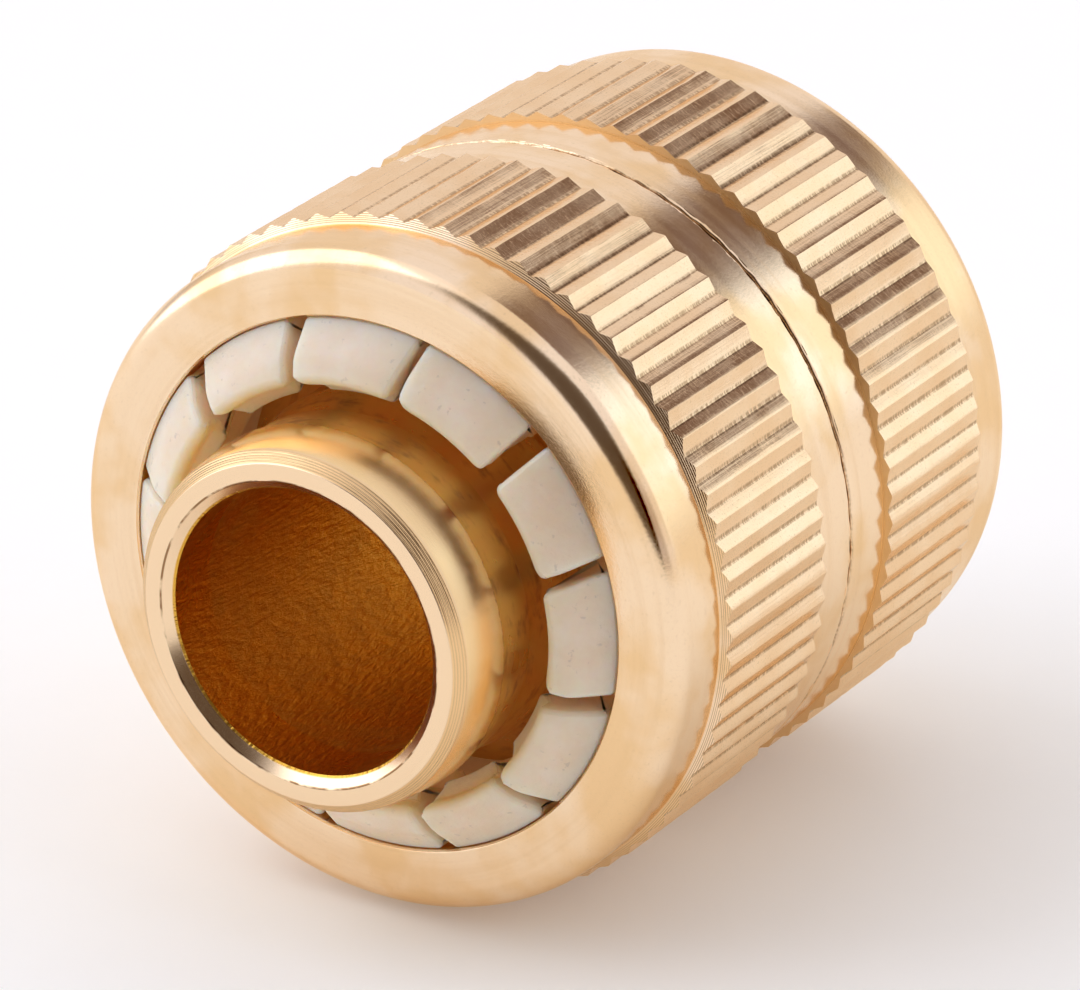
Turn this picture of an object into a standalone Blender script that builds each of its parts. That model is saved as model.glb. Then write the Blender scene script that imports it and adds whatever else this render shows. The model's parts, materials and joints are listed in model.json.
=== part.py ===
"""Double-ended hose union: a barbed stem body, two knurled screw nuts and two twelve-jaw collets.

The fitting lies along Y with its centre at the origin. Both ends are the same, so each piece is
modelled once in an "end frame", whose Z axis points outward from the middle, and is placed at both
ends by an empty. The rear end is the front end turned half a turn about X.
"""

from math import cos, pi, radians, sin, tan

import bmesh
import bpy
from mathutils import Matrix, Vector

MM = 0.001
CLEARANCE = 0.3 * MM  # between neighbouring pieces

# Stem body: a bored bar with hose barbs at both ends and a thread in the middle.
STEM_HALF_LENGTH = 16.85 * MM
BORE_R = 5.4 * MM
BORE_CHAMFER = 0.38 * MM
STEM_LIP_R = 6.4 * MM
BARB_R = 7.02 * MM
BARB_ROOT_R = 6.6 * MM
LEAD_R = 6.87 * MM
LEAD_LENGTH = 0.4 * MM
NECK_R = 6.82 * MM
FIRST_CREST_Z = 14.42 * MM
BARB_STEP = 0.2 * MM
INNER_BARB_START_Z = 12.5 * MM
INNER_BARB_PITCH = 2.1 * MM
INNER_BARB_COUNT = 2
THREAD_MEAN_R = 10.4 * MM
THREAD_END_Z = 6.0 * MM
THREAD_LEAD_IN = 0.5 * MM

# Nut: nose, knurl and a plain band, with a cone inside that squeezes the jaws.
NUT_REAR_Z = CLEARANCE / 2
NUT_MOUTH_Z = 12.0 * MM
NUT_R = 12.65 * MM
NOSE_FRONT_R = 12.55 * MM
NOSE_FILLET = 0.9 * MM
FILLET_POINTS = 4
REAR_CHAMFER = 0.2 * MM
MOUTH_R = 10.1 * MM
MOUTH_CHAMFER = 0.25 * MM
MOUTH_LAND = 0.5 * MM
CONE_END_R = 10.95 * MM
CONE_END_Z = 7.0 * MM
POCKET_R = 11.8 * MM
POCKET_END_Z = 6.6 * MM

# Knurl: straight V-shaped teeth with narrow crests and roots.
KNURL_TEETH = 76
KNURL_R = 13.0 * MM
KNURL_ROOT_R = 12.7 * MM
KNURL_START_Z = 2.4 * MM
KNURL_END_Z = 9.2 * MM
CREST_SHARE = 0.08
ROOT_SHARE = 0.08

# The nut's internal thread, a plain ring at the thread's mean radius.
NUT_THREAD_INNER_R = THREAD_MEAN_R + CLEARANCE + 0.05 * MM
NUT_THREAD_OUTER_R = POCKET_R - CLEARANCE
NUT_THREAD_START_Z = 0.45 * MM
NUT_THREAD_END_Z = POCKET_END_Z - 0.4 * MM

# Collet: a ring against the body's shoulder, with twelve jaws on living hinges.
JAW_COUNT = 12
FIRST_JAW_ANGLE = radians(3)
RING_INNER_R = 8.9 * MM
RING_OUTER_R = NUT_THREAD_INNER_R - CLEARANCE
RING_START_Z = THREAD_END_Z + CLEARANCE
RING_END_Z = 7.8 * MM
RING_CHAMFER = 0.25 * MM
JAW_ROOT_Z = RING_END_Z + CLEARANCE
JAW_TIP_Z = 12.1 * MM
JAW_TIP_SLOPE = 0.2 * MM
JAW_TOOTH_R = 7.32 * MM
JAW_TOOTH_CHAMFER_R = 0.2 * MM
JAW_TOOTH_CHAMFER_Z = 0.1 * MM
JAW_TOOTH_LENGTH = 0.8 * MM
JAW_THROAT_R = 8.1 * MM
JAW_THROAT_Z = JAW_ROOT_Z + 2.4 * MM
SECOND_TOOTH_R = 7.65 * MM
SECOND_TOOTH_Z = JAW_ROOT_Z + 1.6 * MM
JAW_ROOT_INNER_R = 9.5 * MM
JAW_ROOT_LENGTH = 0.6 * MM
JAW_SLOT = 0.7 * MM
JAW_BLANK_INNER_R = 6.5 * MM
JAW_BLANK_OUTER_R = 11.0 * MM
CONE_SLOPE = radians(10)
HINGE_R = 10.1 * MM
HINGE_Z = RING_END_Z + CLEARANCE / 2

BODY_STEPS = 48
NUT_STEPS = 76
COLLET_STEPS = 36
MERGE = 1e-6
SHARP_ANGLE = radians(30)


def clear_scene():
    for old in list(bpy.data.objects):
        bpy.data.objects.remove(old, do_unlink=True)


def collection(name):
    made = bpy.data.collections.new(name)
    bpy.context.scene.collection.children.link(made)
    return made


def material(name, color, roughness, metallic):
    made = bpy.data.materials.new(name)
    made.use_nodes = True
    shader = made.node_tree.nodes["Principled BSDF"]
    shader.inputs["Base Color"].default_value = (*color, 1.0)
    shader.inputs["Roughness"].default_value = roughness
    shader.inputs["Metallic"].default_value = metallic
    return made


def turned(name, profile, steps, group, closed=True):
    """A profile of (radius, z) points turned about Z. It runs down its outer side first."""
    form = bmesh.new()
    points = [form.verts.new((radius, 0.0, height)) for radius, height in profile]
    for first, second in zip(points, points[1:]):
        form.edges.new((first, second))
    if closed:
        form.edges.new((points[-1], points[0]))
    mesh = bpy.data.meshes.new(name)
    form.to_mesh(mesh)
    form.free()
    made = bpy.data.objects.new(name, mesh)
    group.objects.link(made)
    screw = made.modifiers.new("Turn", "SCREW")
    screw.axis = "Z"
    screw.steps = steps
    screw.render_steps = steps
    screw.use_merge_vertices = True
    screw.merge_threshold = MERGE
    return made


def extruded(name, outline, low, high, group):
    """A flat outline of (x, y) points, extruded along Z from low to high, as a mesh object."""
    curve = bpy.data.curves.new(name + "_outline", "CURVE")
    curve.dimensions = "2D"
    curve.fill_mode = "BOTH"
    curve.extrude = (high - low) / 2
    spline = curve.splines.new("POLY")
    spline.points.add(len(outline) - 1)
    for point, (x, y) in zip(spline.points, outline):
        point.co = (x, y, 0.0, 1.0)
    spline.use_cyclic_u = True
    guide = bpy.data.objects.new(name + "_guide", curve)
    group.objects.link(guide)
    mesh = baked_mesh(guide, name)
    bpy.data.objects.remove(guide, do_unlink=True)
    mesh.transform(Matrix.Translation((0.0, 0.0, (low + high) / 2)))
    made = bpy.data.objects.new(name, mesh)
    group.objects.link(made)
    return made


def baked_mesh(source, name):
    """The object's evaluated mesh, with loose caps welded to their sides."""
    graph = bpy.context.evaluated_depsgraph_get()
    mesh = bpy.data.meshes.new_from_object(source.evaluated_get(graph))
    mesh.name = name
    form = bmesh.new()
    form.from_mesh(mesh)
    bmesh.ops.remove_doubles(form, verts=form.verts, dist=MERGE)
    bmesh.ops.recalc_face_normals(form, faces=form.faces)
    form.to_mesh(mesh)
    form.free()
    return mesh


def combine(target, other, operation):
    """Adds a Boolean to target and hides the other object as a helper."""
    boolean = target.modifiers.new(operation.title(), "BOOLEAN")
    boolean.operation = operation
    boolean.solver = "EXACT"
    boolean.object = other
    other.hide_render = True
    other.display_type = "WIRE"


def finish(mesh, paint):
    """Gives a mesh its material and smooth shading with sharp edges."""
    mesh.materials.clear()
    mesh.materials.append(paint)
    mesh.shade_smooth()
    mesh.set_sharp_from_angle(angle=SHARP_ANGLE)


def arc(centre, radius, start, end, count):
    """Points on an arc in the (radius, z) plane, ends included."""
    points = []
    for step in range(count):
        angle = start + (end - start) * step / (count - 1)
        points.append((centre[0] + radius * cos(angle), centre[1] + radius * sin(angle)))
    return points


def barb_profile():
    """The outer line of one hose barb end, from its face inward to the thread's shoulder."""
    line = [
        (STEM_LIP_R, STEM_HALF_LENGTH),
        (LEAD_R, STEM_HALF_LENGTH - LEAD_LENGTH),
        (BARB_R, FIRST_CREST_Z),
        (NECK_R, FIRST_CREST_Z - BARB_STEP),
        (NECK_R, INNER_BARB_START_Z),
    ]
    for index in range(INNER_BARB_COUNT):
        start = INNER_BARB_START_Z - BARB_STEP - index * INNER_BARB_PITCH
        crest = start - INNER_BARB_PITCH + BARB_STEP
        line.append((BARB_ROOT_R, start))
        line.append((BARB_R, crest))
    line.append((BARB_ROOT_R, crest - BARB_STEP))
    line.append((BARB_ROOT_R, THREAD_END_Z))
    line.append((THREAD_MEAN_R - THREAD_LEAD_IN, THREAD_END_Z))
    line.append((THREAD_MEAN_R, THREAD_END_Z - THREAD_LEAD_IN))
    return line


def make_stem_body(parts, paint):
    half = barb_profile()
    other_half = [(radius, -height) for radius, height in reversed(half)]
    bore_end = STEM_HALF_LENGTH - BORE_CHAMFER
    bore = [
        (BORE_R + BORE_CHAMFER, -STEM_HALF_LENGTH),
        (BORE_R, -bore_end),
        (BORE_R, bore_end),
        (BORE_R + BORE_CHAMFER, STEM_HALF_LENGTH),
    ]
    body = turned("stem_body", half + other_half + bore, BODY_STEPS, parts)
    body.rotation_euler = (pi / 2, 0.0, 0.0)
    finish(body.data, paint)


def nut_blank_profile():
    fillet_centre = (NOSE_FRONT_R - NOSE_FILLET, NUT_MOUTH_Z - NOSE_FILLET)
    return [
        (0.0, NUT_MOUTH_Z),
        *arc(fillet_centre, NOSE_FILLET, pi / 2, 0.0, FILLET_POINTS),
        (NUT_R, KNURL_END_Z),
        (NUT_R, NUT_REAR_Z + REAR_CHAMFER),
        (NUT_R - REAR_CHAMFER, NUT_REAR_Z),
        (0.0, NUT_REAR_Z),
    ]


def nut_bore_profile():
    """The nut's inside, run past both of its faces."""
    overshoot = 0.4 * MM
    return [
        (0.0, NUT_MOUTH_Z + overshoot),
        (MOUTH_R + MOUTH_CHAMFER + overshoot, NUT_MOUTH_Z + overshoot),
        (MOUTH_R, NUT_MOUTH_Z - MOUTH_CHAMFER),
        (MOUTH_R, NUT_MOUTH_Z - MOUTH_LAND),
        (CONE_END_R, CONE_END_Z),
        (CONE_END_R, POCKET_END_Z),
        (POCKET_R, POCKET_END_Z),
        (POCKET_R, NUT_REAR_Z - overshoot),
        (0.0, NUT_REAR_Z - overshoot),
    ]


def knurl_outline():
    pitch = 2 * pi / KNURL_TEETH
    corners = (
        (-CREST_SHARE / 2, KNURL_R),
        (CREST_SHARE / 2, KNURL_R),
        (0.5 - ROOT_SHARE / 2, KNURL_ROOT_R),
        (0.5 + ROOT_SHARE / 2, KNURL_ROOT_R),
    )
    outline = []
    for tooth in range(KNURL_TEETH):
        for share, radius in corners:
            angle = (tooth + share) * pitch
            outline.append((radius * cos(angle), radius * sin(angle)))
    return outline


def nut_mesh(helpers):
    blank = turned("nut_blank", nut_blank_profile(), NUT_STEPS, helpers, closed=False)
    knurl = extruded("nut_knurl", knurl_outline(), KNURL_START_Z, KNURL_END_Z, helpers)
    bore = turned("nut_bore", nut_bore_profile(), NUT_STEPS, helpers, closed=False)
    combine(blank, knurl, "UNION")
    combine(blank, bore, "DIFFERENCE")
    blank.hide_render = True
    blank.display_type = "WIRE"
    return baked_mesh(blank, "nut")


def nut_thread_profile():
    return [
        (NUT_THREAD_OUTER_R, NUT_THREAD_END_Z),
        (NUT_THREAD_OUTER_R, NUT_THREAD_START_Z),
        (NUT_THREAD_INNER_R, NUT_THREAD_START_Z),
        (NUT_THREAD_INNER_R, NUT_THREAD_END_Z),
    ]


def collet_ring_profile():
    return [
        (RING_OUTER_R - RING_CHAMFER, RING_END_Z),
        (RING_OUTER_R, RING_END_Z - RING_CHAMFER),
        (RING_OUTER_R, RING_START_Z),
        (RING_INNER_R, RING_START_Z),
        (RING_INNER_R, RING_END_Z - RING_CHAMFER),
        (RING_INNER_R + RING_CHAMFER, RING_END_Z),
    ]


def cone_radius(height):
    """The radius of the nut's cone at a height in the end frame."""
    cone_start_z = NUT_MOUTH_Z - MOUTH_LAND
    share = min(max((cone_start_z - height) / (cone_start_z - CONE_END_Z), 0.0), 1.0)
    return MOUTH_R + share * (CONE_END_R - MOUTH_R)


def jaw_profile():
    """A jaw's section: a sloping nose, a back along the nut's cone, a thin root and two teeth."""
    back_gap = CLEARANCE / cos(CONE_SLOPE)
    outer_tip_z = JAW_TIP_Z - JAW_TIP_SLOPE
    land_z = NUT_MOUTH_Z - MOUTH_LAND
    return [
        (cone_radius(outer_tip_z) - back_gap, outer_tip_z),
        (cone_radius(land_z) - back_gap, land_z),
        (cone_radius(JAW_ROOT_Z) - back_gap, JAW_ROOT_Z),
        (JAW_ROOT_INNER_R, JAW_ROOT_Z),
        (JAW_ROOT_INNER_R, JAW_ROOT_Z + JAW_ROOT_LENGTH),
        (SECOND_TOOTH_R, SECOND_TOOTH_Z),
        (JAW_THROAT_R, JAW_THROAT_Z),
        (JAW_TOOTH_R, JAW_TIP_Z - JAW_TOOTH_LENGTH),
        (JAW_TOOTH_R, JAW_TIP_Z - JAW_TOOTH_CHAMFER_Z),
        (JAW_TOOTH_R + JAW_TOOTH_CHAMFER_R, JAW_TIP_Z),
    ]


def jaw_mesh(helpers):
    """One jaw about its hinge: X outward, Y along the hinge, Z towards the jaw's tip."""
    half_share = pi / JAW_COUNT
    inner, outer = (
        radius * tan(half_share) - JAW_SLOT / 2 / cos(half_share)
        for radius in (JAW_BLANK_INNER_R, JAW_BLANK_OUTER_R)
    )
    outline = [
        (JAW_BLANK_INNER_R, -inner),
        (JAW_BLANK_OUTER_R, -outer),
        (JAW_BLANK_OUTER_R, outer),
        (JAW_BLANK_INNER_R, inner),
    ]
    blank = extruded("jaw_blank", outline, RING_END_Z, JAW_TIP_Z + CLEARANCE, helpers)
    claw = turned("jaw_section", jaw_profile(), COLLET_STEPS, helpers)
    claw.rotation_euler = (0.0, 0.0, pi / COLLET_STEPS)
    combine(blank, claw, "INTERSECT")
    blank.hide_render = True
    blank.display_type = "WIRE"
    bpy.context.view_layer.update()
    mesh = baked_mesh(blank, "jaw")
    mesh.transform(Matrix.Translation(-Vector((HINGE_R, 0.0, HINGE_Z))))
    return mesh


def place(name, mesh, parent, parts):
    piece = bpy.data.objects.new(name, mesh)
    parts.objects.link(piece)
    piece.parent = parent
    return piece


def make_end(side, turn, meshes, parts, brass, nylon):
    """The nut and collet of one end, under an empty whose Z axis points outward."""
    end = bpy.data.objects.new(side + "_end", None)
    parts.objects.link(end)
    end.rotation_euler = (turn, 0.0, 0.0)
    place(side + "_nut", meshes["nut"], end, parts)

    thread = turned(side + "_nut_thread", nut_thread_profile(), BODY_STEPS, parts)
    ring = turned(side + "_collet_ring", collet_ring_profile(), COLLET_STEPS, parts)
    for piece, paint in ((thread, brass), (ring, nylon)):
        piece.parent = end
        finish(piece.data, paint)

    for index in range(JAW_COUNT):
        angle = FIRST_JAW_ANGLE + index * 2 * pi / JAW_COUNT
        jaw = place(f"{side}_jaw_{index + 1:02d}", meshes["jaw"], end, parts)
        jaw.location = (HINGE_R * cos(angle), HINGE_R * sin(angle), HINGE_Z)
        jaw.rotation_euler = (0.0, 0.0, angle)


def main():
    clear_scene()
    parts = collection("hose_union")
    helpers = collection("cutters")
    brass = material("brass", (0.80, 0.62, 0.42), 0.28, 1.0)
    nylon = material("nylon", (0.86, 0.82, 0.74), 0.4, 0.0)
    make_stem_body(parts, brass)
    meshes = {"nut": nut_mesh(helpers), "jaw": jaw_mesh(helpers)}
    finish(meshes["nut"], brass)
    finish(meshes["jaw"], nylon)
    make_end("front", pi / 2, meshes, parts, brass, nylon)
    make_end("rear", -pi / 2, meshes, parts, brass, nylon)


main()
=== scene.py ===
import json
from math import atan2, cos, pi, radians, sin, tan

import bmesh
import bpy
import numpy as np
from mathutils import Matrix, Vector


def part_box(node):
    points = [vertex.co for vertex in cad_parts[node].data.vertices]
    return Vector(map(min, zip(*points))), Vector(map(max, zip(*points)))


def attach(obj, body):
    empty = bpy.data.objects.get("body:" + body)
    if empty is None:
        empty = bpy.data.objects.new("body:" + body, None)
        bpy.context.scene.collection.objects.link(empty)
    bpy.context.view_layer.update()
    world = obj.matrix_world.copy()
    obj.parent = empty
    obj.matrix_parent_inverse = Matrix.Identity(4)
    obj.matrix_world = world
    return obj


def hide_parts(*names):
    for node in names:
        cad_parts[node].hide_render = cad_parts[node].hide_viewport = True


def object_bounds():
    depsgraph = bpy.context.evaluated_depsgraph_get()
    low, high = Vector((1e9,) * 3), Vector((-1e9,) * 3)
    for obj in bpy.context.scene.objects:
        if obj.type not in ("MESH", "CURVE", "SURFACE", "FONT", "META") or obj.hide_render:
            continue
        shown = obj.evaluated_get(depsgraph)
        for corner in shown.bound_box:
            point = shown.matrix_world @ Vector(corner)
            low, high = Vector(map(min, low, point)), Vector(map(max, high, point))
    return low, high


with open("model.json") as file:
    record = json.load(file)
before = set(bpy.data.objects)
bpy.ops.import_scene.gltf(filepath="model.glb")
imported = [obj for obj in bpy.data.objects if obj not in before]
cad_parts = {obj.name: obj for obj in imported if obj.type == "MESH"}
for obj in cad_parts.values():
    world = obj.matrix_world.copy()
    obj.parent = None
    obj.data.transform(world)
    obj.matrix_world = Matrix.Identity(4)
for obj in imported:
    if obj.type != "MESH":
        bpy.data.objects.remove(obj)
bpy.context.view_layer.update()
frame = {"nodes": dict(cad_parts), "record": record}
RECORD = frame["record"]

MM = 0.001
SHARP_ANGLE = radians(20)  # edges that turn by more than this are shaded sharp
ARC_STEP = radians(9)  # how finely a fillet is divided
MIDDLE_GAP = 0.045 * MM  # half the gap between the two nuts

# Driving sizes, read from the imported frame. The fitting lies along Y with its centre at the origin.
# Each end is made once, as the front one, in terms of the height outward from the middle.
STEM_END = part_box("stem_body")[1].y
NUT_FACE = -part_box("front_nut")[0].y
KNURL_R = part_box("front_nut")[1].x
RING_START = -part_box("front_collet_ring")[1].y
RING_END = -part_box("front_collet_ring")[0].y
THREAD_END = RING_START - 0.3 * MM  # the stem's thread stops short of the ring
RATIOS = {row["joint"]: row["ratio"] for row in RECORD["behaviour"]["couplings"]}
THREAD_PITCH = 2 * pi * RATIOS["front_nut_travel"]
JAW_COUNT = sum(name.startswith("front_jaw") for name in frame["nodes"])

# Knurl: straight V-shaped teeth. The shares are places along one pitch, from crest to crest, and each
# has its share of the full depth.
KNURL_TEETH = 76
KNURL_ROOT_R = KNURL_R - 0.2 * MM
KNURL_NEAR = 2.4 * MM  # where it meets the band
KNURL_FAR = 9.2 * MM  # where its end cone meets the nose
KNURL_CONE = 0.62  # how fast the end cone falls back with radius
KNURL_ROWS = 24
KNURL_WEAR = 0.012 * MM  # how far crests wear down, and how high the burr on their edge stands
KNURL_ROOT_WANDER = 0.008 * MM
TOOTH_SHARES = (-0.03, 0.03, 0.157, 0.283, 0.41, 0.44, 0.617, 0.793)
TOOTH_DEPTHS = (0.0, 0.0, 0.34, 0.67, 1.0, 1.0, 0.67, 0.34)

# Nut: nose, band and inside.
NOSE_R = 12.6 * MM
NOSE_FILLET = 0.88 * MM
BAND_R = 12.66 * MM
MOUTH_R = 10.11 * MM
MOUTH_CHAMFER = 0.08 * MM
MOUTH_LAND = 0.5 * MM  # the straight stretch between the face and the cone inside
CONE_END_R = 11.1 * MM
CONE_END = 7.0 * MM
RELIEF_R = 11.4 * MM
RELIEF_END = 6.6 * MM
NUT_THREAD_END = 4.0 * MM  # short enough to stay clear of the jaws with the nut run out
NUT_THREAD_START = 0.4 * MM
BAND_EDGE = 0.12 * MM  # rounding of the band's edge by the middle gap
BAND_RAG = 0.02 * MM  # and how ragged that rounding is

# Thread: the stem's outside form, and the play of the nut's matching form over it.
THREAD_R = 10.85 * MM
THREAD_DEPTH = 0.66 * MM
THREAD_PLAY = 0.13 * MM
THREAD_ROW = THREAD_PITCH / 12
THREAD_CREST_SHARE = 1 / 16  # half the flat crest, as a share of the pitch
THREAD_ROOT_SHARE = 1 / 8  # and half the flat root

# Stem: lip, barbs and bore.
BORE_R = 5.4 * MM
BORE_MOUTH_R = 5.78 * MM
LIP_R = 6.4 * MM
LEAD_R = 6.8 * MM
LEAD_LENGTH = 0.39 * MM
BARB_R = 7.02 * MM
CREST = 14.42 * MM  # height of the front barb's crest
CREST_DROP = 0.14 * MM
CREST_RAG = 0.012 * MM
NECK_R = 6.84 * MM
NECK_END = 12.5 * MM
HIDDEN_CRESTS = (10.4 * MM, 8.3 * MM)
BARB_DROP = 0.2 * MM
BARB_ROOT_R = 6.6 * MM
BORE_ROWS = 24
STEM_COLUMNS = 288

# Collet: the ring, and the jaws about their own middle line.
FIRST_JAW = radians(3)
RING_INNER_R = 8.9 * MM
RING_OUTER_R = 10.2 * MM
RING_COLUMNS = 288
WEB_INNER_R = 9.66 * MM
WEB_OUTER_R = 9.98 * MM
WEB_HEIGHT = 0.24 * MM
WEB_HALF_SHARE = 0.36  # half its width, as a share of the pitch between jaws
WEB_SLOPE_SHARE = 0.03
JAW_SLOT = 0.4 * MM  # between two jaws
JAW_COLUMNS = 11
JAW_RIM_STEPS = 5
JAW_RIM = 0.27 * MM  # rounding of a jaw's sides
JAW_FLASH = 0.025 * MM
JAW_TAPER = 0.12 * MM  # how much narrower each side is at the mouth than the slot leaves it
JAW_BACK_GAP = 0.045 * MM  # between a jaw's back and the nut's mouth
JAW_TIP_R = 7.9 * MM
JAW_REACH = 1.45 * MM  # how far the tips stand out past the nut
# Each jaw has its own shift round the axis in degrees, and its own share of the full width.
JAW_SHIFTS = (0.0, -0.9, 0.3, -0.6, 0.2, 0.9, -0.3, 0.2, 0.0, -0.2, -1.2, -0.9)
JAW_WIDTHS = (1.01, 0.93, 1.01, 1.04, 0.96, 1.0, 1.0, 0.98, 1.0, 1.02, 0.97, 1.0)
# How far its tip leans round the axis past its root, in degrees.
JAW_LEANS = (-2.4, -1.2, 0.3, 2.3, 0.0, 0.5, -0.6, 0.4, 0.0, -0.5, 0.0, -2.6)
# Corner radii of its inner edge in millimetres, on the clockwise side and the other one.
JAW_CORNERS = (
    (0.8, 0.15), (0.6, 0.35), (0.15, 0.7), (0.1, 0.8), (0.2, 0.5), (0.3, 0.3),
    (0.5, 0.2), (0.3, 0.6), (0.6, 0.1), (0.7, 0.1), (0.7, 0.15), (0.8, 0.1))

# Camera and studio. Angles are in degrees, as direction() takes them.
CAMERA_AZIMUTH = 31.9
CAMERA_ELEVATION = 24.17
CAMERA_DISTANCE = 0.27
CAMERA_TARGET = Vector((-0.15, -0.56, -0.84)) * MM
CAMERA_LENS = 245.5
STUDIO_LIGHT = (0.95, 0.95, 1.06)
# azimuth, elevation, half width, half height and edge softness of a panel, and the light it adds
PANELS = (
    (-68, 26, 25, 36, 0.12, (1.0, 1.12, 1.35)),
    (29, 29, 34, 36, 0.2, (-0.84, -0.87, -1.0)),
    (74, 10, 18, 15, 0.6, (-0.35, -0.4, -0.47)),
    (143, 18, 17, 15, 0.5, (0.35, 0.5, 0.6)),
    (170, 38, 12, 10, 0.35, (-0.74, -0.80, -0.92)),
    (-108, 1, 22, 8, 0.7, (-0.28, -0.3, -0.31)),
)
FLOOR_HALF_SIZE = 1.5
FLOOR_GLOW = 0.12


# ------------------------------------------------------------------ mesh tools

def rounded(corners):
    """Points of an open (radius, height) line whose inner corners are (radius, height, fillet)."""
    points = [corners[0][:2]]
    for before, corner, after in zip(corners, corners[1:], corners[2:]):
        here = Vector(corner[:2])
        size = corner[2] if len(corner) > 2 else 0.0
        if size == 0.0:
            points.append(corner[:2])
            continue
        back = (Vector(before[:2]) - here).normalized()
        ahead = (Vector(after[:2]) - here).normalized()
        half = back.angle(ahead) / 2
        centre = here + (back + ahead).normalized() * (size / sin(half))
        start = here + back * (size / tan(half)) - centre
        end = here + ahead * (size / tan(half)) - centre
        turn = atan2(start.x * end.y - start.y * end.x, start.dot(end))
        steps = max(2, round(abs(turn) / ARC_STEP))
        first = atan2(start.y, start.x)
        for step in range(steps + 1):
            angle = first + turn * step / steps
            points.append((centre.x + size * cos(angle), centre.y + size * sin(angle)))
    points.append(corners[-1][:2])
    return points


def rows_of(points, columns):
    """A (rows, columns, 2) array of (radius, height), the same all the way round."""
    line = np.array(points, float)
    return np.repeat(line[:, None, :], columns, axis=1)


def turned_places(radius, height, theta):
    """Points at these angles round the fitting's axis, at the front end."""
    return np.stack((radius * np.cos(theta), -height, radius * np.sin(theta)), axis=-1)


def grid_quads(rows, columns, strips):
    """Quads of this many strips, each from a row of a grid to its next, closed across the columns."""
    first = np.arange(strips)[:, None]
    across = np.arange(columns)[None, :]
    below, beside = (first + 1) % rows, (across + 1) % columns
    corners = (
        first * columns + across,
        below * columns + across,
        below * columns + beside,
        first * columns + beside,
    )
    return np.stack(corners, -1).reshape(-1, 4).tolist()


def turned_piece(name, rows, theta, side):
    """A closed solid from rows of (radius, height), each a full turn, that follow its outline."""
    form = np.concatenate(rows)
    count, columns = form.shape[:2]
    places = turned_places(form[..., 0], form[..., 1], theta)
    return mesh_piece(name, places.reshape(-1, 3), grid_quads(count, columns, count), side)


def mesh_piece(name, places, faces, side):
    """A mesh object, made at the front end and turned half round X for the rear one."""
    if side > 0:
        places = places * np.array((1.0, -1.0, -1.0))
    mesh = bpy.data.meshes.new(name)
    mesh.from_pydata(places.tolist(), [], faces)
    form = bmesh.new()
    form.from_mesh(mesh)
    bmesh.ops.recalc_face_normals(form, faces=form.faces)
    form.to_mesh(mesh)
    form.free()
    mesh.shade_smooth()
    mesh.set_sharp_from_angle(angle=SHARP_ANGLE)
    made = bpy.data.objects.new(name, mesh)
    bpy.context.scene.collection.objects.link(made)
    return made


def wobble(theta, orders, size, seed):
    """A random wave round the axis, built from these orders."""
    rng = np.random.default_rng(seed)
    total = np.zeros_like(theta)
    for order in orders:
        total += rng.normal() * np.cos(order * theta + rng.uniform(0, 2 * pi))
    return size * total / np.sqrt(len(orders))


# ------------------------------------------------------------------ thread

def thread_radius(height, theta):
    """The stem's thread form at the front end, right-handed, with its crest at full radius."""
    phase = -height / THREAD_PITCH + theta / (2 * pi)
    from_crest = np.abs((phase + 0.5) % 1 - 0.5)
    flank = 0.5 - THREAD_CREST_SHARE - THREAD_ROOT_SHARE
    depth = np.clip((from_crest - THREAD_CREST_SHARE) / flank, 0, 1)
    return THREAD_R - THREAD_DEPTH * depth


def thread_rows(low, high, theta, play):
    """Rows of the thread from one height to another, this much larger than the stem's."""
    heights = np.linspace(low, high, round(abs(high - low) / THREAD_ROW) + 1)
    grid = np.repeat(heights[:, None], len(theta), axis=1)
    return np.stack((thread_radius(grid, theta[None, :]) + play, grid), axis=-1)


# ------------------------------------------------------------------ nuts

def knurl_rows(rng):
    """Rows of the knurl from its outer end to its inner one, with small tool wander."""
    shares, depths = np.array(TOOTH_SHARES), np.array(TOOTH_DEPTHS)
    wander = rng.normal(size=(KNURL_ROWS, KNURL_TEETH, 1))
    wander = (wander + np.roll(wander, 1, axis=0)) / 2
    worn = rng.normal(size=(1, KNURL_TEETH, 1))
    crest = KNURL_R - KNURL_WEAR * np.abs(worn) - KNURL_WEAR * np.abs(wander)
    root = KNURL_ROOT_R + KNURL_ROOT_WANDER * rng.normal(size=(1, KNURL_TEETH, 1))
    burr = np.where(shares < 0, KNURL_WEAR, 0.0) * (depths == 0)
    radius = crest - (crest - root) * depths + burr
    radius = radius.reshape(KNURL_ROWS, -1)
    # The outer end is cut to a cone, so each tooth ends further back at its crest.
    far = KNURL_FAR - KNURL_CONE * (radius[0] - NOSE_R)
    share = np.linspace(0, 1, KNURL_ROWS)[:, None]
    grid = far[None, :] * (1 - share) + KNURL_NEAR * share
    return np.stack((radius, grid), axis=-1)


def knurl_angles():
    """The angle of each column of the knurl, and so of the whole nut."""
    pitch = 2 * pi / KNURL_TEETH
    shares = np.array(TOOTH_SHARES)
    return (np.arange(KNURL_TEETH)[:, None] + shares).ravel() * pitch


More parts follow.
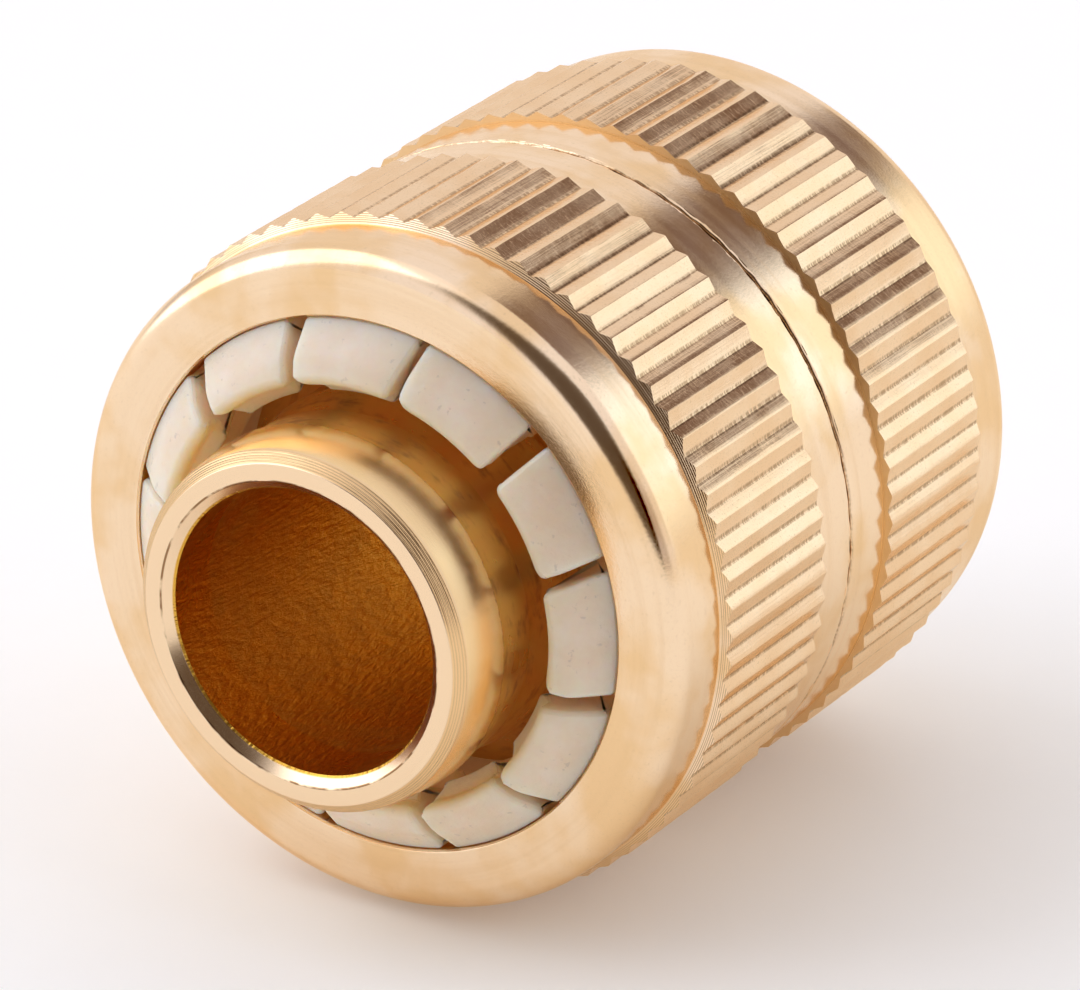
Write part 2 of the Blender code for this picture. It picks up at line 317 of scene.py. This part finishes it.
def make_nut(name, side, turned_brass, knurl_brass):
    """A nut as one closed solid: nose, knurl and band outside, thread, relief and cone inside."""
    rng = np.random.default_rng(7 if side < 0 else 8)
    theta = knurl_angles()
    knurl = knurl_rows(rng)
    if side > 0:  # keeps the teeth leaning the same way as the front nut's once turned round
        theta, knurl = -theta[::-1], knurl[:, ::-1]
    columns = len(theta)
    land_end = NUT_FACE - MOUTH_LAND
    nose = rounded([
        (MOUTH_R, land_end),
        (MOUTH_R, NUT_FACE - MOUTH_CHAMFER, 0.03 * MM),
        (MOUTH_R + MOUTH_CHAMFER, NUT_FACE, 0.04 * MM),
        (NOSE_R - NOSE_FILLET - 0.15 * MM, NUT_FACE),
        (NOSE_R, NUT_FACE, NOSE_FILLET),
        (NOSE_R, KNURL_FAR + 0.2 * MM),
        (NOSE_R, KNURL_FAR),
    ])
    band = rounded([
        (BAND_R, KNURL_NEAR),
        (BAND_R, KNURL_NEAR - 0.1 * MM),
        (BAND_R, MIDDLE_GAP + 0.3 * MM),
        (BAND_R, MIDDLE_GAP + 0.2 * MM),
        (BAND_R, MIDDLE_GAP, BAND_EDGE),
        (THREAD_R + 0.5 * MM, MIDDLE_GAP),
        (THREAD_R + 0.3 * MM, MIDDLE_GAP + 0.2 * MM),
    ])
    inside = rounded([
        (THREAD_R, NUT_THREAD_END + 0.15 * MM),
        (RELIEF_R, NUT_THREAD_END + 0.25 * MM, 0.1 * MM),
        (RELIEF_R, RELIEF_END, 0.1 * MM),
        (CONE_END_R, RELIEF_END, 0.1 * MM),
        (CONE_END_R, CONE_END, 0.5 * MM),
        (MOUTH_R, land_end - 0.02 * MM),
    ])
    band_rows = rows_of(band, columns)
    edge = slice(5, len(band) - 3)  # the rounding by the middle gap, without its two ends
    band_rows[edge, :, 0] += wobble(theta, range(20, 90), BAND_RAG, seed=31 + side)
    thread = thread_rows(NUT_THREAD_START, NUT_THREAD_END, theta, THREAD_PLAY)
    rows = [rows_of(nose, columns), knurl, band_rows, thread, rows_of(inside, columns)]
    nut = turned_piece(name, rows, theta, side)
    nut.data.materials.append(turned_brass)
    nut.data.materials.append(knurl_brass)
    for face in nut.data.polygons:
        out = (face.center.x ** 2 + face.center.z ** 2) ** 0.5
        if out > KNURL_ROOT_R - 0.05 * MM and abs(face.normal.y) < 0.3:
            face.material_index = int(KNURL_NEAR < abs(face.center.y) < KNURL_FAR)
    return nut


# ------------------------------------------------------------------ stem

def make_stem(brass):
    """The stem as one closed solid: each end's lip and barbs, the thread between them and the bore."""
    theta = np.linspace(0, 2 * pi, STEM_COLUMNS, endpoint=False)
    bore_end = STEM_END - (BORE_MOUTH_R - BORE_R)
    corners = [
        (BORE_R, bore_end),
        (BORE_MOUTH_R, STEM_END, 0.02 * MM),
        (LIP_R, STEM_END, 0.03 * MM),
        (LEAD_R, STEM_END - LEAD_LENGTH, 0.12 * MM),
        (BARB_R - 0.05 * MM, 0.5 * (STEM_END + CREST), 8.0 * MM),
        (BARB_R, CREST, 0.05 * MM),
        (NECK_R, CREST - CREST_DROP, 0.05 * MM),
        (NECK_R, NECK_END, 0.05 * MM),
        (BARB_ROOT_R, NECK_END - BARB_DROP, 0.1 * MM),
    ]
    for crest in HIDDEN_CRESTS:
        corners.append((BARB_R, crest, 0.04 * MM))
        corners.append((BARB_ROOT_R, crest - BARB_DROP, 0.1 * MM))
    corners.append((BARB_ROOT_R, THREAD_END, 0.2 * MM))
    corners.append((THREAD_R - THREAD_DEPTH - 0.1 * MM, THREAD_END))
    front = rows_of(rounded(corners), STEM_COLUMNS)
    by_crest = np.abs(front[:, :1, 1] - CREST) < 0.08 * MM
    front[..., 0] += by_crest * wobble(theta, range(30, 120), CREST_RAG, seed=5)
    rear = front[::-1] * np.array((1.0, -1.0))
    thread = thread_rows(THREAD_END - 0.02 * MM, 0.02 * MM - THREAD_END, theta, 0.0)
    lead_in = THREAD_R - THREAD_DEPTH + (THREAD_END - np.abs(thread[..., 1]))
    thread[..., 0] = np.minimum(thread[..., 0], lead_in)
    bore_heights = np.linspace(-bore_end, bore_end, BORE_ROWS)[1:-1]
    bore = rows_of([(BORE_R, height) for height in bore_heights], STEM_COLUMNS)
    stem = turned_piece("stem", [front, thread, rear, bore], theta, -1)
    stem.data.materials.append(brass)
    return stem


# ------------------------------------------------------------------ collets

def jaw_section():
    """A jaw's closed outline: domed front face, back along the nut's cone, root and two teeth."""
    mouth = MOUTH_R - JAW_BACK_GAP
    cone_slope = (CONE_END_R - MOUTH_R) / (NUT_FACE - MOUTH_LAND - CONE_END)
    root = RING_END + 0.3 * MM
    root_r = MOUTH_R + cone_slope * (NUT_FACE - MOUTH_LAND - root) - 0.4 * MM
    tip = NUT_FACE + JAW_REACH
    start = (JAW_TIP_R + 0.6 * MM, tip - 0.3 * MM)
    line = rounded([
        start,
        (JAW_TIP_R + 1.15 * MM, tip - 0.58 * MM, 1.6 * MM),
        (mouth, NUT_FACE - 0.1 * MM, 0.12 * MM),
        (mouth, NUT_FACE - MOUTH_LAND, 0.5 * MM),
        (root_r, root, 0.15 * MM),
        (9.6 * MM, root, 0.15 * MM),
        (9.5 * MM, root + 0.7 * MM, 0.4 * MM),
        (JAW_TIP_R - 0.2 * MM, root + 1.5 * MM, 0.26 * MM),
        (JAW_TIP_R + 0.5 * MM, root + 2.3 * MM, 0.3 * MM),
        (JAW_TIP_R - 0.45 * MM, tip - 1.25 * MM, 0.12 * MM),
        (JAW_TIP_R + 0.05 * MM, tip - 0.85 * MM, 0.15 * MM),
        (JAW_TIP_R, tip, 0.33 * MM),
        start,
    ])
    return np.array(line[:-1])


def section_normals(line):
    """Outward unit normals of a closed outline that runs clockwise or counter-clockwise."""
    ahead, back = np.roll(line, -1, axis=0), np.roll(line, 1, axis=0)
    along = ahead - back
    normals = np.stack((along[:, 1], -along[:, 0]), axis=-1)
    normals /= np.linalg.norm(normals, axis=1, keepdims=True)
    area = np.sum(line[:, 0] * ahead[:, 1] - ahead[:, 0] * line[:, 1])
    return normals * np.sign(area)


def make_jaw(name, index, side, nylon):
    """One jaw: its section carried across its width, with rounded sides."""
    rng = np.random.default_rng(100 + index)
    line = jaw_section()
    normals = section_normals(line)
    flash = JAW_FLASH * rng.normal(size=(2, len(line)))
    half_share = pi / JAW_COUNT
    # Steps from side to side: a share of the half width, and how far in from the side and the outline.
    turns = np.linspace(0, pi / 2, JAW_RIM_STEPS)[1:]
    side_rim = [(JAW_RIM * (1 - sin(a)), JAW_RIM * (1 - cos(a))) for a in turns]
    steps = [(-1, *insets) for insets in reversed(side_rim)]
    steps += [(share, JAW_RIM, 0.0) for share in np.linspace(-1, 1, JAW_COLUMNS)]
    steps += [(1, *insets) for insets in side_rim]
    angle = FIRST_JAW + index * 2 * half_share + radians(JAW_SHIFTS[index])
    rings = []
    for share, side_inset, inset in steps:
        place = line - normals * inset
        radius, height = place[:, 0], place[:, 1]
        half = JAW_WIDTHS[index] * (radius * tan(half_share) - JAW_SLOT / 2 / cos(half_share))
        corner = JAW_CORNERS[index][int(share > 0)] * MM
        short = np.clip(corner - (radius - JAW_TIP_R), 0, corner)
        half -= corner - np.sqrt(corner ** 2 - short ** 2)
        half += flash[int(share > 0)] * (short > 0) * (abs(share) > 0.9)
        outward = (radius - JAW_TIP_R) / (MOUTH_R - JAW_TIP_R)
        half -= JAW_TAPER * np.clip(outward, 0, 1)
        lean = radians(JAW_LEANS[index]) * np.clip(1 - outward, 0, 1)
        theta = angle + lean + share * (half - side_inset) / radius
        rings.append(turned_places(radius, height, theta))
    places = np.concatenate(rings)
    count = len(line)
    faces = grid_quads(len(rings), count, len(rings) - 1)
    faces.append(list(range(count)))
    faces.append(list(range(len(places) - count, len(places))))
    jaw = mesh_piece(name, places, faces, side)
    jaw.data.materials.append(nylon)
    return jaw


def make_ring(name, side, nylon):
    """The collet's ring, with a thin web reaching towards each jaw's root."""
    theta = np.linspace(0, 2 * pi, RING_COLUMNS, endpoint=False)
    line = rounded([
        (9.5 * MM, RING_END),
        (WEB_INNER_R, RING_END),
        (WEB_INNER_R + 0.02 * MM, RING_END + 0.01 * MM),
        (WEB_OUTER_R - 0.02 * MM, RING_END + 0.01 * MM),
        (WEB_OUTER_R, RING_END),
        (RING_OUTER_R, RING_END, 0.15 * MM),
        (RING_OUTER_R, RING_START, 0.15 * MM),
        (RING_INNER_R, RING_START, 0.15 * MM),
        (RING_INNER_R, RING_END, 0.25 * MM),
        (9.4 * MM, RING_END),
    ])
    rows = rows_of(line, RING_COLUMNS)
    share = (theta - FIRST_JAW) * JAW_COUNT / (2 * pi)
    from_jaw = np.abs((share + 0.5) % 1 - 0.5)
    web = np.clip((WEB_HALF_SHARE - from_jaw) / WEB_SLOPE_SHARE, 0, 1)
    rows[2:4, :, 1] += WEB_HEIGHT * web
    ring = turned_piece(name, [rows], theta, side)
    ring.data.materials.append(nylon)
    return ring


# ------------------------------------------------------------------ materials

class Graph:
    """The nodes of a material or a world, added one call at a time. Colours here are linear."""

    def __init__(self, owner):
        owner.use_nodes = True
        self.owner = owner
        self.tree = owner.node_tree
        self.shader = self.tree.nodes.get("Principled BSDF")

    def add(self, kind, output=0, inputs=None, **settings):
        made = self.tree.nodes.new("ShaderNode" + kind)
        for key, value in settings.items():
            setattr(made, key, value)
        for key, value in (inputs or {}).items():
            self.put(made.inputs[key], value)
        return made.outputs[output]

    def put(self, socket, value):
        if isinstance(value, bpy.types.NodeSocket):
            self.tree.links.new(value, socket)
        else:
            socket.default_value = value

    def set(self, **values):
        for key, value in values.items():
            self.put(self.shader.inputs[key.replace("_", " ").title()], value)

    def math(self, operation, first, second=0.0, third=0.0):
        return self.add("Math", operation=operation, inputs={0: first, 1: second, 2: third})

    def mix(self, factor, first, second):
        return self.add("MixRGB", inputs={0: factor, 1: first, 2: second})

    def remap(self, value, low, high, new_low=0.0, new_high=1.0):
        return self.add("MapRange", interpolation_type="SMOOTHSTEP",
                        inputs={0: value, 1: low, 2: high, 3: new_low, 4: new_high})

    def noise(self, vector, scale, detail=2.0, rough=0.5, w=None):
        inputs = {"Vector": vector, "Scale": scale, "Detail": detail, "Roughness": rough}
        if w is not None:
            inputs["W"] = w
        return self.add("TexNoise", noise_dimensions="3D" if w is None else "4D", inputs=inputs)

    def bump(self, height, distance, strength=1.0, normal=None):
        inputs = {"Height": height, "Distance": distance, "Strength": strength}
        if normal is not None:
            inputs["Normal"] = normal
        return self.add("Bump", inputs=inputs)

    def millimetres(self):
        place = self.add("TexCoord", output=3)
        return self.add("VectorMath", operation="SCALE", inputs={0: place, "Scale": 1 / MM})

    def around(self, place):
        """(radius, along, cosine, sine) of a place in millimetres about the fitting's axis."""
        made = self.tree.nodes.new("ShaderNodeSeparateXYZ")
        self.put(made.inputs[0], place)
        x, y, z = made.outputs
        flat = self.add("CombineXYZ", inputs={0: x, 2: z})
        radius = self.add("VectorMath", output=1, operation="LENGTH", inputs={0: flat})
        return radius, y, self.math("DIVIDE", x, radius), self.math("DIVIDE", z, radius)

    def wrapped(self, along, cosine, sine, along_scale, around_scale):
        """A place on the surface for noise that has one scale along the axis and one around it."""
        return self.add("CombineXYZ", inputs={
            0: self.math("MULTIPLY", along, along_scale),
            1: self.math("MULTIPLY", cosine, around_scale),
            2: self.math("MULTIPLY", sine, around_scale)})

    def turning(self, place, fine, around_scale, detail=3.0):
        """Noise drawn out into rings round the axis, as a lathe tool leaves."""
        radius, along, cosine, sine = self.around(place)
        vector = self.add("CombineXYZ", inputs={
            0: self.math("MULTIPLY", radius, fine),
            1: self.math("MULTIPLY", along, fine),
            2: self.math("MULTIPLY", cosine, around_scale)})
        return self.noise(vector, 1.0, detail, 0.6, w=self.math("MULTIPLY", sine, around_scale))


def color(red, green, blue):
    return (red, green, blue, 1.0)


EDGE_TINT = color(1.0, 0.9, 0.75)  # brass seen at a glancing angle


def make_nut_brass():
    """Fine-turned brass: drawn-out tool lines and smears, with painted bounce light (a richer orange
    inside the nut, where brass reflects brass) and painted shade in the end cones' grooves and between
    the nuts.
    """
    g = Graph(bpy.data.materials.new("nut_turned_brass"))
    place = g.millimetres()
    radius, along = g.around(place)[:2]
    height = g.math("ABSOLUTE", along)
    inside = g.math("MULTIPLY", g.remap(radius, 12.0, 11.85), g.remap(height, 11.85, 11.7))
    # The ledge is where the knurl's teeth end at the band.
    ledge = g.math("MULTIPLY", g.remap(radius, 12.62, 12.68), g.remap(height, 2.6, 2.45))
    ledge = g.math("MULTIPLY", ledge, g.remap(height, 2.2, 2.35))
    rings = g.turning(place, 8.0, 1.0)
    fine = g.turning(place, 26.0, 1.6)
    smear = g.turning(place, 2.2, 0.7)
    cloud = g.noise(place, 0.26, 3.0, 0.55)
    grain = g.noise(place, 8.0, 4.0, 0.65)
    tone = g.mix(g.remap(cloud, 0.38, 0.6), color(0.87, 0.59, 0.31), color(0.94, 0.71, 0.47))
    tone = g.mix(g.remap(grain, 0.55, 0.75, 0.0, 0.35), tone, color(0.66, 0.44, 0.24))
    tone = g.mix(g.remap(smear, 0.45, 0.7, 0.0, 0.3), tone, color(0.80, 0.53, 0.27))
    # Painted bounce light: inside the nut the tone turns a richer orange, standing in for light that
    # brass reflects onto brass.
    tone = g.mix(inside, tone, color(0.90, 0.55, 0.19))
    tone = g.mix(ledge, tone, color(0.87, 0.62, 0.34))
    rough = g.math("ADD", g.remap(smear, 0.35, 0.65, 0.13, 0.2), g.remap(grain, 0.4, 0.8, 0.0, 0.05))
    rough = g.math("ADD", rough, g.math("MULTIPLY", ledge, 0.25))
    # The knurl's end cones show the grooves of the tool that cut them: bumped, and darkened with
    # painted shade.
    ends = g.math("MULTIPLY", g.remap(radius, 12.61, 12.65), g.remap(height, 8.8, 8.85))
    grooves = g.math("SINE", g.math("MULTIPLY_ADD", radius, 100.0, g.math("MULTIPLY", rings, 6.0)))
    cut = g.math("MULTIPLY", ends, g.remap(grooves, -0.2, 0.6, 0.0, 0.6))
    tone = g.mix(cut, tone, color(0.38, 0.22, 0.1))
    # Painted shade: a broken dark line in the gap between the two nuts.
    seam_shade = g.math("MULTIPLY", g.remap(height, 0.13, 0.06), g.remap(grain, 0.4, 0.6, 0.2, 0.8))
    tone = g.mix(g.math("MULTIPLY", seam_shade, g.remap(radius, 12.3, 12.4)), tone, color(0.4, 0.24, 0.12))
    first = g.bump(rings, 0.0010 * MM)
    second = g.bump(fine, 0.0007 * MM, normal=first)
    third = g.bump(grain, 0.003 * MM, normal=second)
    last = g.bump(grooves, 0.003 * MM, ends, normal=third)
    g.set(base_color=tone, metallic=1.0, roughness=rough, normal=last, specular_tint=EDGE_TINT)
    return g.owner


def make_knurl_brass():
    """Knurled facets: tool marks across the grooves and faint drag lines along them, with painted
    shade darkening the groove bottoms.
    """
    g = Graph(bpy.data.materials.new("nut_knurl_brass"))
    place = g.millimetres()
    radius, along, cosine, sine = g.around(place)
    ticks = g.noise(g.wrapped(along, cosine, sine, 11.0, 20.0), 1.0, 2.0, 0.7)
    drag = g.noise(g.wrapped(along, cosine, sine, 0.35, 160.0), 1.0, 3.0, 0.6)
    cloud = g.noise(place, 0.5, 3.0, 0.55)
    tone = g.mix(g.remap(cloud, 0.35, 0.68), color(0.85, 0.58, 0.33), color(0.89, 0.64, 0.39))
    pits = g.noise(place, 14.0, 3.0, 0.7)
    tone = g.mix(g.remap(pits, 0.56, 0.7, 0.0, 0.5), tone, color(0.5, 0.32, 0.16))
    # Painted shade: the groove bottoms between the teeth are darkened, broken up by the tool marks.
    root = g.remap(radius, KNURL_ROOT_R / MM + 0.04, KNURL_ROOT_R / MM + 0.012)
    root = g.math("MULTIPLY", root, g.remap(ticks, 0.4, 0.55, 0.2, 0.8))
    tone = g.mix(root, tone, color(0.36, 0.22, 0.11))
    rough = g.remap(cloud, 0.3, 0.7, 0.12, 0.22)
    first = g.bump(ticks, 0.010 * MM)
    second = g.bump(drag, 0.006 * MM, normal=first)
    g.set(base_color=tone, metallic=1.0, roughness=rough, normal=second, specular_tint=EDGE_TINT)
    return g.owner


def make_stem_brass():
    """Turned brass: pale end faces, a golden taper and neck, and an orange bore with ripples. The
    bore's darker orange is painted shade and bounce light, the neck's gold is partly painted bounce
    light, and the chamfer's grooves and the line round the bore's mouth are painted shade.
    """
    g = Graph(bpy.data.materials.new("stem_turned_brass"))
    place = g.millimetres()
    radius, along, cosine, sine = g.around(place)
    height = g.math("ABSOLUTE", along)
    inside = g.remap(radius, 5.5, 5.45)
    end = g.remap(height, STEM_END / MM - 0.5, STEM_END / MM - 0.36)
    chamfer = g.math("MULTIPLY", end, g.remap(radius, 6.4, 6.45))
    neck = g.remap(height, CREST / MM - 0.04, CREST / MM - 0.12)
    rings = g.turning(place, 7.0, 1.2)
    cloud = g.noise(place, 0.35, 3.0, 0.6)
    grain = g.noise(place, 9.0, 4.0, 0.65)
    scratch = g.turning(place, 1.6, 5.0)
    # The bore's marks are fine ripples, a little drawn out along it.
    chatter = g.noise(g.wrapped(along, cosine, sine, 1.6, 26.0), 1.0, 3.0, 0.65)
    grooves = g.math("SINE", g.math("MULTIPLY_ADD", radius, 88.0, g.math("MULTIPLY", rings, 5.0)))
    tone = g.mix(g.remap(cloud, 0.35, 0.65), color(0.86, 0.59, 0.27), color(0.90, 0.64, 0.33))
    tone = g.mix(end, tone, color(0.92, 0.68, 0.43))
    tone = g.mix(chamfer, tone, color(0.84, 0.56, 0.28))
    # Painted shade: the chamfer's tool grooves are darkened.
    cut = g.math("MULTIPLY", chamfer, g.remap(grooves, 0.0, 0.8, 0.0, 0.3))
    tone = g.mix(cut, tone, color(0.4, 0.25, 0.12))
    # The neck's brighter, more saturated gold is partly its own finish and partly painted bounce light
    # in the shaded gap under the jaws.
    tone = g.mix(neck, tone, color(0.95, 0.65, 0.22))
    tone = g.mix(g.math("MULTIPLY", neck, g.remap(scratch, 0.5, 0.75)), tone, color(0.55, 0.32, 0.13))
    # Broken dark lines: a painted shadow of the burr round the bore's mouth, and wear on the barb's
    # crest.
    burr = g.remap(g.math("ABSOLUTE", g.math("SUBTRACT", radius, BORE_MOUTH_R / MM)), 0.05, 0.02)
    burr = g.math("MULTIPLY", burr, g.remap(scratch, 0.42, 0.55))
    tone = g.mix(burr, tone, color(0.3, 0.16, 0.07))
    lip = g.remap(g.math("ABSOLUTE", g.math("SUBTRACT", height, CREST / MM - 0.02)), 0.1, 0.05)
    lip = g.math("MULTIPLY", lip, g.remap(grain, 0.45, 0.6))
    tone = g.mix(g.math("MULTIPLY", lip, 0.7), tone, color(0.42, 0.24, 0.09))
    # Painted shade and bounce light: the bore turns a darker, deeper orange, as brass reflecting brass
    # in a hole looks.
    tone = g.mix(inside, tone, color(0.76, 0.42, 0.06))
    tone = g.mix(g.remap(grain, 0.62, 0.8, 0.0, 0.2), tone, color(0.5, 0.3, 0.12))
    rough = g.math("ADD", g.remap(cloud, 0.3, 0.7, 0.17, 0.24), g.math("MULTIPLY", inside, 0.08))
    rough = g.math("ADD", rough, g.math("MULTIPLY", neck, g.remap(scratch, 0.35, 0.65, 0.08, 0.2)))
    first = g.bump(rings, 0.0008 * MM)
    second = g.bump(chatter, 0.07 * MM, inside, normal=first)
    third = g.bump(grain, 0.0008 * MM, normal=second)
    last = g.bump(grooves, 0.008 * MM, chamfer, normal=third)
    g.set(base_color=tone, metallic=1.0, roughness=rough, normal=last, specular_tint=EDGE_TINT)
    return g.owner


def make_nylon():
    """Milky nylon, speckled with moulding dirt, with painted light: warmer at the tips for light
    shining through them, and warmer and glowing deep in the nut for light bounced off the brass.
    """
    g = Graph(bpy.data.materials.new("ivory_nylon"))
    place = g.millimetres()
    radius, along = g.around(place)[:2]
    deep = g.remap(g.math("ABSOLUTE", along), NUT_FACE / MM - 0.2, NUT_FACE / MM - 1.6)
    cloud = g.noise(place, 0.6, 3.0, 0.55)
    grain = g.noise(place, 5.0, 4.0, 0.6)
    specks = g.noise(place, 3.2, 3.0, 0.6)
    tone = g.mix(g.remap(cloud, 0.3, 0.7), color(0.84, 0.68, 0.50), color(0.88, 0.75, 0.60))
    tone = g.mix(g.remap(specks, 0.63, 0.72, 0.0, 0.4), tone, color(0.5, 0.42, 0.34))
    # Painted light: the thin tips turn warmer, standing in for light shining through the nylon.
    tone = g.mix(g.remap(radius, 8.7, 7.9, 0.0, 0.6), tone, color(0.92, 0.74, 0.48))
    # Painted reflection: deep in the nut the nylon takes the brass's orange, standing in for light
    # bounced off the brass.
    tone = g.mix(deep, tone, color(0.92, 0.58, 0.26))
    glow = g.math("MULTIPLY", deep, 0.05)  # painted glow: a faint emission standing in for the light that the milky nylon lets through
    g.set(base_color=tone, roughness=g.remap(grain, 0.3, 0.8, 0.3, 0.45),
          emission_color=color(1.0, 0.66, 0.3), emission_strength=glow,
          normal=g.bump(specks, 0.03 * MM, normal=g.bump(grain, 0.01 * MM)),
          subsurface_weight=1.0, subsurface_radius=(1.0, 0.65, 0.4), subsurface_scale=1.6 * MM)
    return g.owner


# ------------------------------------------------------------------ studio

def direction(azimuth, elevation):
    """A unit vector. Azimuth 0 is towards -Y and 90 towards +X."""
    a, e = radians(azimuth), radians(elevation)
    return Vector((sin(a) * cos(e), -cos(a) * cos(e), sin(e)))


def make_world():
    """A white studio with soft brighter and darker patches for the metal to reflect."""
    g = Graph(bpy.data.worlds.new("studio"))
    toward = g.add("TexCoord", output=0)
    light = STUDIO_LIGHT
    for azimuth, elevation, width, height, soft, amount in PANELS:
        centre = direction(azimuth, elevation)
        side = direction(azimuth + 90, 0)
        up = side.cross(centre)
        ahead, right, above = (
            g.add("VectorMath", output=1, operation="DOT_PRODUCT", inputs={0: toward, 1: axis})
            for axis in (centre, side, up))
        share = g.remap(ahead, 0.0, 0.2)
        ahead = g.math("MAXIMUM", ahead, 0.05)
        for offset, half in ((right, width), (above, height)):
            away = g.math("DIVIDE", g.math("ABSOLUTE", offset), ahead)
            edge = tan(radians(half))
            inside = g.remap(away, edge * (1 + soft), edge * (1 - soft))
            share = g.math("MULTIPLY", share, inside)
        light = g.add("VectorMath", operation="MULTIPLY_ADD", inputs={0: share, 1: amount, 2: light})
    g.put(g.tree.nodes["Background"].inputs["Color"], light)
    bpy.context.scene.world = g.owner


def make_floor():
    """A pale paper floor under the fitting, which glows a little, like a light table."""
    mesh = bpy.data.meshes.new("floor")
    form = bmesh.new()
    bmesh.ops.create_grid(form, x_segments=8, y_segments=8, size=FLOOR_HALF_SIZE)
    form.to_mesh(mesh)
    form.free()
    floor = bpy.data.objects.new("floor", mesh)
    floor.location.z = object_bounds()[0].z
    bpy.context.scene.collection.objects.link(floor)
    g = Graph(bpy.data.materials.new("floor_paper"))
    place = g.millimetres()
    fibre = g.noise(place, 0.4, 3.0, 0.5)
    paper = g.mix(fibre, color(0.95, 0.925, 0.86), color(0.97, 0.945, 0.88))
    g.set(base_color=paper, roughness=0.9, normal=g.bump(fibre, 0.02 * MM),
          emission_color=paper, emission_strength=FLOOR_GLOW)
    floor.data.materials.append(g.owner)


def area_light(name, azimuth, elevation, distance, size, power):
    """A round lamp that shines at the origin."""
    data = bpy.data.lights.new(name, "AREA")
    data.shape = "DISK"
    data.size = size
    data.energy = power
    lamp = bpy.data.objects.new(name, data)
    bpy.context.scene.collection.objects.link(lamp)
    toward = direction(azimuth, elevation)
    lamp.location = toward * distance
    lamp.rotation_euler = toward.to_track_quat("Z", "Y").to_euler()


def make_camera():
    """The photograph's view, with a long lens."""
    data = bpy.data.cameras.new("camera")
    data.lens = CAMERA_LENS
    data.sensor_width = 36
    data.clip_start = 0.01
    camera = bpy.data.objects.new("camera", data)
    bpy.context.scene.collection.objects.link(camera)
    toward = direction(CAMERA_AZIMUTH, CAMERA_ELEVATION)
    camera.location = CAMERA_TARGET + toward * CAMERA_DISTANCE
    camera.rotation_euler = toward.to_track_quat("Z", "Y").to_euler()
    bpy.context.scene.camera = camera


# ------------------------------------------------------------------ the fitting

nut_brass = make_nut_brass()
knurl_brass = make_knurl_brass()
nylon = make_nylon()

stem = make_stem(make_stem_brass())
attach(stem, "stem_body")
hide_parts("stem_body")

for side_name, side in (("front", -1), ("rear", 1)):
    nut = make_nut(side_name + "_nut_turned", side, nut_brass, knurl_brass)
    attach(nut, side_name + "_nut")
    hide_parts(side_name + "_nut", side_name + "_nut_thread")
    ring = make_ring(side_name + "_ring_moulded", side, nylon)
    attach(ring, "stem_body")
    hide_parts(side_name + "_collet_ring")
    for index in range(JAW_COUNT):
        body = f"{side_name}_jaw_{index + 1:02d}"
        jaw = make_jaw(body + "_moulded", index, side, nylon)
        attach(jaw, body)
        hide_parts(body)

make_floor()
make_world()
area_light("key", azimuth=-60, elevation=60, distance=0.6, size=0.5, power=0.1)
make_camera()

scene = bpy.context.scene
scene.view_settings.view_transform = "Standard"
scene.cycles.max_bounces = 16
scene.cycles.glossy_bounces = 12
